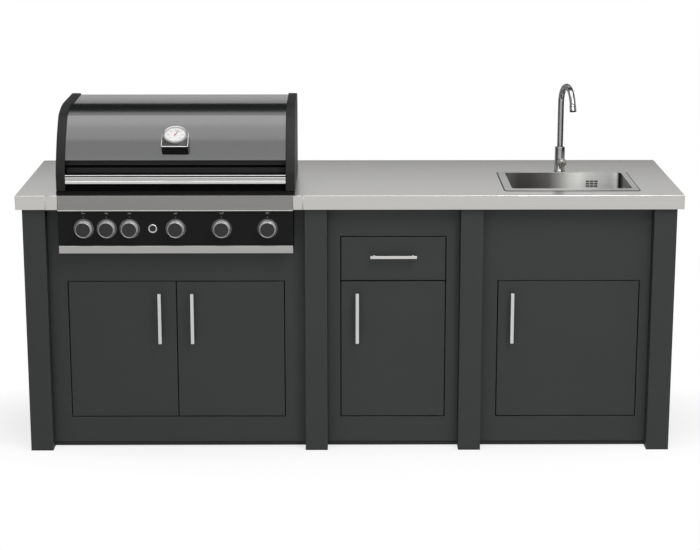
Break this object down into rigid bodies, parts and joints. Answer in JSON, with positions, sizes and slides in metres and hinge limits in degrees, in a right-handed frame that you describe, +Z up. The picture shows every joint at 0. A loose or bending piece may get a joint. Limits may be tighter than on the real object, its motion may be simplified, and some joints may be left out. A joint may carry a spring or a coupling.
{
  "type": "outdoor kitchen island",
  "caption": "Free-standing outdoor kitchen island: gas grill with hinged hood, cupboards, drawer and inset sink with swivelling faucet under a steel worktop.",
  "frame": {"origin": "on the floor, below the middle of the overall box", "axes": "+X to the right as seen from the front, +Y to the back, +Z up"},
  "size_m": [2.34, 0.722, 1.277],
  "materials": {
    "charcoal_coat": "fine matt powder coat",
    "dark_coat": "matt powder coat",
    "black_plastic": "moulded",
    "worktop_steel": "brushed lengthwise",
    "trim_steel": "brushed lengthwise",
    "handle_steel": "satin",
    "zinc_steel": "zinc plated",
    "black_enamel": "satin enamel",
    "hood_enamel": "glossy enamel",
    "cast_caps": "satin coat on cast metal",
    "burner_steel": "drawn",
    "cast_iron": "matt enamel",
    "knob_metal": "turned",
    "button_plastic": "moulded",
    "polished_chrome": "polished",
    "dial_white": "printed",
    "needle_red": "satin",
    "lens_glass": "clear",
    "sink_steel": "satin"
  },
  "bodies": {
    "island": {"front_posts": "charcoal_coat", "rear_posts": "charcoal_coat", "post_feet": "black_plastic", "cabinet_sides": "charcoal_coat", "back_panels": "charcoal_coat", "floor_panels": "charcoal_coat", "plinths": "dark_coat", "front_panel_grill": "charcoal_coat", "front_panel_drawer": "charcoal_coat", "front_panel_sink": "charcoal_coat", "rails": "charcoal_coat", "worktop_left": "worktop_steel", "worktop_grill": "worktop_steel", "worktop_sink": "worktop_steel", "door_pivots": "zinc_steel", "door_catches": "zinc_steel", "drawer_runners": "zinc_steel", "grill_trims": "trim_steel", "control_panel": "black_enamel", "firebox": "black_enamel", "burners": "burner_steel", "heat_plates": "burner_steel", "cooking_grates": "cast_iron", "grease_tray": "burner_steel", "warming_rack": "burner_steel", "gas_manifold": "zinc_steel", "knob_bezels": "knob_metal", "hood_pins": "zinc_steel", "sink_bowl": "sink_steel", "sink_waste": "black_plastic", "faucet_body": "polished_chrome"},
    "hood": {"hood_shell": "hood_enamel", "hood_caps": "cast_caps", "hood_handle": "trim_steel", "thermometer_block": "cast_caps", "thermometer_case": "polished_chrome", "thermometer_dial": "dial_white", "thermometer_lens": "lens_glass"},
    "needle": {"thermometer_needle": "needle_red"},
    "door_1": {"door_grill_left": "charcoal_coat", "handle_grill_left": "handle_steel"},
    "door_2": {"door_grill_right": "charcoal_coat", "handle_grill_right": "handle_steel"},
    "door_3": {"door_middle": "charcoal_coat", "handle_middle": "handle_steel"},
    "door_4": {"door_sink": "charcoal_coat", "handle_sink": "handle_steel"},
    "drawer": {"drawer_front": "charcoal_coat", "drawer_box": "zinc_steel", "drawer_handle": "handle_steel"},
    "igniter": {"igniter_button": "button_plastic"},
    "spout": {"faucet_spout": "polished_chrome"},
    "cartridge": {"faucet_collar": "polished_chrome"},
    "lever": {"faucet_lever": "polished_chrome"},
    "knob_1": {"knob_1": "knob_metal"},
    "knob_2": {"knob_2": "knob_metal"},
    "knob_3": {"knob_3": "knob_metal"},
    "knob_4": {"knob_4": "knob_metal"},
    "knob_5": {"knob_5": "knob_metal"},
    "knob_6": {"knob_6": "knob_metal"}
  },
  "joints": [
    {"name": "hood_hinge", "type": "hinge", "parent": "island", "child": "hood", "pos_m": [-0.611, 0.181, 0.9995], "axis": [-1, 0, 0], "range_deg": [0, 85]},
    {"name": "needle_turn", "type": "hinge", "parent": "hood", "child": "needle", "pos_m": [-0.611, -0.26977, 1.14414], "axis": [0, 0.5171, -0.8559], "range_deg": [-155, 110]},
    {"name": "door_grill_left_hinge", "type": "hinge", "parent": "island", "child": "door_1", "pos_m": [-0.99, -0.266, 0.116], "axis": [0, 0, -1], "range_deg": [0, 105]},
    {"name": "door_grill_right_hinge", "type": "hinge", "parent": "island", "child": "door_2", "pos_m": [-0.247, -0.266, 0.116], "axis": [0, 0, 1], "range_deg": [0, 105]},
    {"name": "door_middle_hinge", "type": "hinge", "parent": "island", "child": "door_3", "pos_m": [0.3275, -0.266, 0.116], "axis": [0, 0, 1], "range_deg": [0, 105]},
    {"name": "door_sink_hinge", "type": "hinge", "parent": "island", "child": "door_4", "pos_m": [1.018, -0.266, 0.116], "axis": [0, 0, 1], "range_deg": [0, 105]},
    {"name": "drawer_slide", "type": "slide", "parent": "island", "child": "drawer", "axis": [0, -1, 0], "range_m": [0, 0.35]},
    {"name": "knob_1_turn", "type": "hinge", "parent": "island", "child": "knob_1", "pos_m": [-0.933, -0.331, 0.822], "axis": [0, -1, 0], "range_deg": [0, 200]},
    {"name": "knob_2_turn", "type": "hinge", "parent": "island", "child": "knob_2", "pos_m": [-0.8525, -0.331, 0.822], "axis": [0, -1, 0], "range_deg": [0, 200]},
    {"name": "knob_3_turn", "type": "hinge", "parent": "island", "child": "knob_3", "pos_m": [-0.772, -0.331, 0.822], "axis": [0, -1, 0], "range_deg": [0, 200]},
    {"name": "knob_4_turn", "type": "hinge", "parent": "island", "child": "knob_4", "pos_m": [-0.611, -0.331, 0.822], "axis": [0, -1, 0], "range_deg": [0, 200]},
    {"name": "knob_5_turn", "type": "hinge", "parent": "island", "child": "knob_5", "pos_m": [-0.45, -0.331, 0.822], "axis": [0, -1, 0], "range_deg": [0, 200]},
    {"name": "knob_6_turn", "type": "hinge", "parent": "island", "child": "knob_6", "pos_m": [-0.289, -0.331, 0.822], "axis": [0, -1, 0], "range_deg": [0, 200]},
    {"name": "igniter_push", "type": "slide", "parent": "island", "child": "igniter", "axis": [0, 1, 0], "range_m": [0, 0.003], "stiffness_N_per_m": 400},
    {"name": "spout_swivel", "type": "hinge", "parent": "island", "child": "spout", "pos_m": [0.782, 0.124, 1.008], "axis": [0, 0, 1], "range_deg": [-100, 100]},
    {"name": "temperature_turn", "type": "hinge", "parent": "island", "child": "cartridge", "pos_m": [0.78557, 0.08316, 0.98], "axis": [0.0872, -0.9962, 0], "range_deg": [-45, 45]},
    {"name": "flow_tilt", "type": "hinge", "parent": "cartridge", "child": "lever", "pos_m": [0.78557, 0.08316, 0.98], "axis": [-0.9962, -0.0872, 0], "range_deg": [0, 25]}
  ]
}
